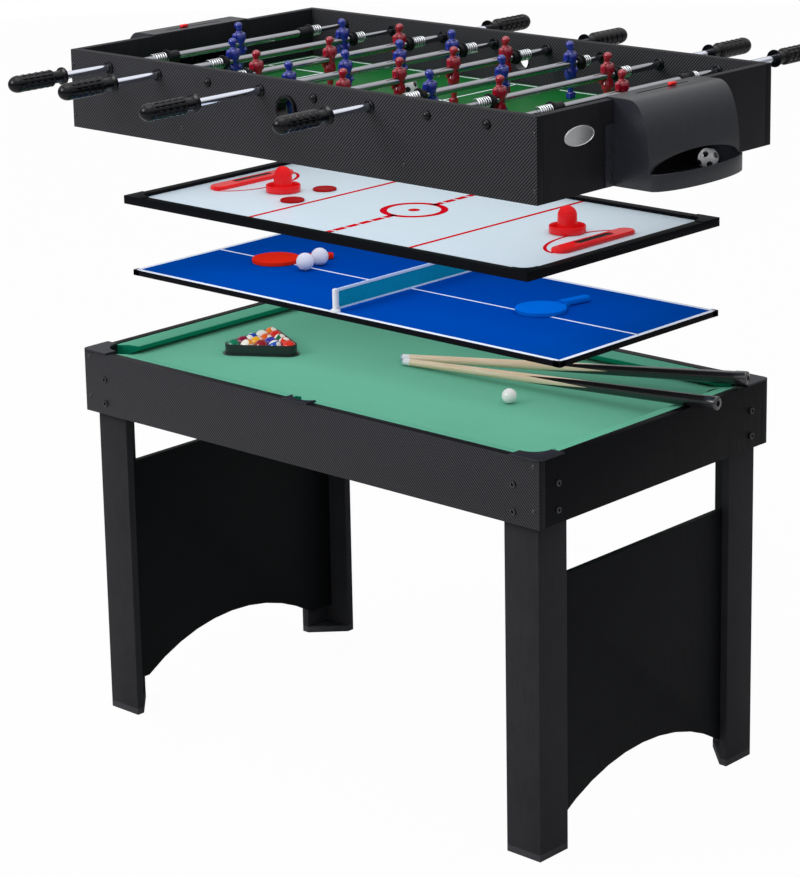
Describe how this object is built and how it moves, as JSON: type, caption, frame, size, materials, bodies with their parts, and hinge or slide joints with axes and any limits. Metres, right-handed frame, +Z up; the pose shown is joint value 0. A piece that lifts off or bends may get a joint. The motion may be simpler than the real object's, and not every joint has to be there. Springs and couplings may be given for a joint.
{
  "type": "multi game table",
  "caption": "Four-legged pool table with a table tennis top, an air hockey top and a rod football cabinet laid out above it, each lifted clear of the one below.",
  "frame": {"origin": "on the floor under the middle of the table", "axes": "+X along the length to the right, +Y to the back, +Z up"},
  "size_m": [1.278, 1.142, 1.2565],
  "materials": {
    "carbon_board": "printed carbon weave foil, satin",
    "black_board": "black foiled board, satin",
    "black_plastic": "moulded, satin",
    "bed_cloth": "printed green playing surface",
    "cushion_cloth": "dark green cloth over rubber",
    "white_ball": "polished",
    "cue_wood": "lacquered, dark butt and white ferrule",
    "tennis_blue": "blue printed board with white lines",
    "net_teal": "teal net with white tapes and posts",
    "bat_red": "red face, moulded handle",
    "bat_blue": "blue face, moulded handle",
    "ice_white": "pale printed board with red lines",
    "game_red": "polished red",
    "field_green": "green printed field with white lines",
    "chrome": "plated tube, plastic players and grip"
  },
  "bodies": {
    "pool_table": {"apron_front": "carbon_board", "apron_back": "carbon_board", "apron_left": "black_board", "apron_right": "black_board", "leg_front_left": "black_board", "leg_front_right": "black_board", "leg_back_left": "black_board", "leg_back_right": "black_board", "end_panel_left": "black_board", "end_panel_right": "black_board", "pool_bed": "bed_cloth", "cushion_front_left": "cushion_cloth", "cushion_front_right": "cushion_cloth", "cushion_back_left": "cushion_cloth", "cushion_back_right": "cushion_cloth", "cushion_left": "cushion_cloth", "cushion_right": "cushion_cloth", "pocket_front_left": "black_plastic", "pocket_front_middle": "black_plastic", "pocket_front_right": "black_plastic", "pocket_back_left": "black_plastic", "pocket_back_middle": "black_plastic", "pocket_back_right": "black_plastic"},
    "rack": {"ball_rack": "black_plastic"},
    "white_ball": {"cue_ball": "white_ball"},
    "back_cue": {"cue_back": "cue_wood"},
    "front_cue": {"cue_front": "cue_wood"},
    "tennis_top": {"tennis_board": "tennis_blue"},
    "net": {"tennis_net": "net_teal"},
    "red_bat": {"bat_red": "bat_red"},
    "blue_bat": {"bat_blue": "bat_blue"},
    "hockey_top": {"hockey_board": "ice_white", "hockey_frame": "black_plastic"},
    "left_striker": {"striker_left": "game_red"},
    "right_striker": {"striker_right": "game_red"},
    "football_table": {"football_wall_front": "carbon_board", "football_wall_back": "carbon_board", "football_wall_left": "black_board", "football_wall_right": "black_board", "football_field": "field_green", "ball_box_left": "black_plastic", "ball_box_right": "black_plastic"},
    "left_marker": {"score_marker_left": "game_red"},
    "right_marker": {"score_marker_right": "game_red"},
    "spin_1": {"inner_rod_1": "chrome"},
    "rod_1": {"player_rod_1": "chrome"},
    "spin_2": {"inner_rod_2": "chrome"},
    "rod_2": {"player_rod_2": "chrome"},
    "spin_3": {"inner_rod_3": "chrome"},
    "rod_3": {"player_rod_3": "chrome"},
    "spin_4": {"inner_rod_4": "chrome"},
    "rod_4": {"player_rod_4": "chrome"},
    "spin_5": {"inner_rod_5": "chrome"},
    "rod_5": {"player_rod_5": "chrome"},
    "spin_6": {"inner_rod_6": "chrome"},
    "rod_6": {"player_rod_6": "chrome"},
    "spin_7": {"inner_rod_7": "chrome"},
    "rod_7": {"player_rod_7": "chrome"},
    "spin_8": {"inner_rod_8": "chrome"},
    "rod_8": {"player_rod_8": "chrome"}
  },
  "joints": [
    {"name": "tennis_top_lift", "type": "slide", "parent": "pool_table", "child": "tennis_top", "axis": [0, 0, 1], "range_m": [0, 0.15]},
    {"name": "hockey_top_lift", "type": "slide", "parent": "tennis_top", "child": "hockey_top", "axis": [0, 0, 1], "range_m": [0, 0.15]},
    {"name": "football_lift", "type": "slide", "parent": "hockey_top", "child": "football_table", "axis": [0, 0, 1], "range_m": [0, 0.15]},
    {"name": "rack_lift", "type": "slide", "parent": "pool_table", "child": "rack", "axis": [0, 0, 1], "range_m": [0, 0.08]},
    {"name": "white_ball_travel", "type": "slide", "parent": "pool_table", "child": "white_ball", "axis": [1, 0, 0], "range_m": [-0.38, 0.22]},
    {"name": "back_cue_draw", "type": "slide", "parent": "pool_table", "child": "back_cue", "axis": [0.9567, 0.2871, 0.0478], "range_m": [0, 0.1]},
    {"name": "front_cue_draw", "type": "slide", "parent": "pool_table", "child": "front_cue", "axis": [0.9949, 0.0915, 0.0431], "range_m": [0, 0.1]},
    {"name": "net_lift", "type": "slide", "parent": "tennis_top", "child": "net", "axis": [0, 0, 1], "range_m": [0, 0.05]},
    {"name": "red_bat_lift", "type": "slide", "parent": "tennis_top", "child": "red_bat", "axis": [0, 0, 1], "range_m": [0, 0.08]},
    {"name": "blue_bat_lift", "type": "slide", "parent": "tennis_top", "child": "blue_bat", "axis": [0, 0, 1], "range_m": [0, 0.08]},
    {"name": "left_striker_travel", "type": "slide", "parent": "hockey_top", "child": "left_striker", "axis": [1, 0, 0], "range_m": [-0.055, 0.25]},
    {"name": "right_striker_travel", "type": "slide", "parent": "hockey_top", "child": "right_striker", "axis": [1, 0, 0], "range_m": [-0.28, 0.026]},
    {"name": "left_marker_slide", "type": "slide", "parent": "football_table", "child": "left_marker", "axis": [0, 1, 0], "range_m": [-0.04, 0.09]},
    {"name": "right_marker_slide", "type": "slide", "parent": "football_table", "child": "right_marker", "axis": [0, 1, 0], "range_m": [-0.09, 0.04]},
    {"name": "rod_1_turn", "type": "hinge", "parent": "football_table", "child": "spin_1", "pos_m": [-0.43505, 0, 1.216], "axis": [0, 1, 0], "continuous": true},
    {"name": "rod_1_slide", "type": "slide", "parent": "spin_1", "child": "rod_1", "axis": [0, 1, 0], "range_m": [-0.10137, 0.07736]},
    {"name": "rod_2_turn", "type": "hinge", "parent": "football_table", "child": "spin_2", "pos_m": [-0.31075, 0, 1.216], "axis": [0, 1, 0], "continuous": true},
    {"name": "rod_2_slide", "type": "slide", "parent": "spin_2", "child": "rod_2", "axis": [0, 1, 0], "range_m": [-0.11932, 0.08931]},
    {"name": "rod_3_turn", "type": "hinge", "parent": "football_table", "child": "spin_3", "pos_m": [-0.18645, 0, 1.216], "axis": [0, 1, 0], "continuous": true},
    {"name": "rod_3_slide", "type": "slide", "parent": "spin_3", "child": "rod_3", "axis": [0, 1, 0], "range_m": [-0.05326, 0.07127]},
    {"name": "rod_4_turn", "type": "hinge", "parent": "football_table", "child": "spin_4", "pos_m": [-0.06215, 0, 1.216], "axis": [0, 1, 0], "continuous": true},
    {"name": "rod_4_slide", "type": "slide", "parent": "spin_4", "child": "rod_4", "axis": [0, 1, 0], "range_m": [-0.00772, 0.06775]},
    {"name": "rod_5_turn", "type": "hinge", "parent": "football_table", "child": "spin_5", "pos_m": [0.06215, 0, 1.216], "axis": [0, 1, 0], "continuous": true},
    {"name": "rod_5_slide", "type": "slide", "parent": "spin_5", "child": "rod_5", "axis": [0, 1, 0], "range_m": [-0.00772, 0.06775]},
    {"name": "rod_6_turn", "type": "hinge", "parent": "football_table", "child": "spin_6", "pos_m": [0.18645, 0, 1.216], "axis": [0, 1, 0], "continuous": true},
    {"name": "rod_6_slide", "type": "slide", "parent": "spin_6", "child": "rod_6", "axis": [0, 1, 0], "range_m": [-0.08328, 0.04125]},
    {"name": "rod_7_turn", "type": "hinge", "parent": "football_table", "child": "spin_7", "pos_m": [0.31075, 0, 1.216], "axis": [0, 1, 0], "continuous": true},
    {"name": "rod_7_slide", "type": "slide", "parent": "spin_7", "child": "rod_7", "axis": [0, 1, 0], "range_m": [-0.11332, 0.09531]},
    {"name": "rod_8_turn", "type": "hinge", "parent": "football_table", "child": "spin_8", "pos_m": [0.43505, 0, 1.216], "axis": [0, 1, 0], "continuous": true},
    {"name": "rod_8_slide", "type": "slide", "parent": "spin_8", "child": "rod_8", "axis": [0, 1, 0], "range_m": [-0.11938, 0.05935]}
  ]
}
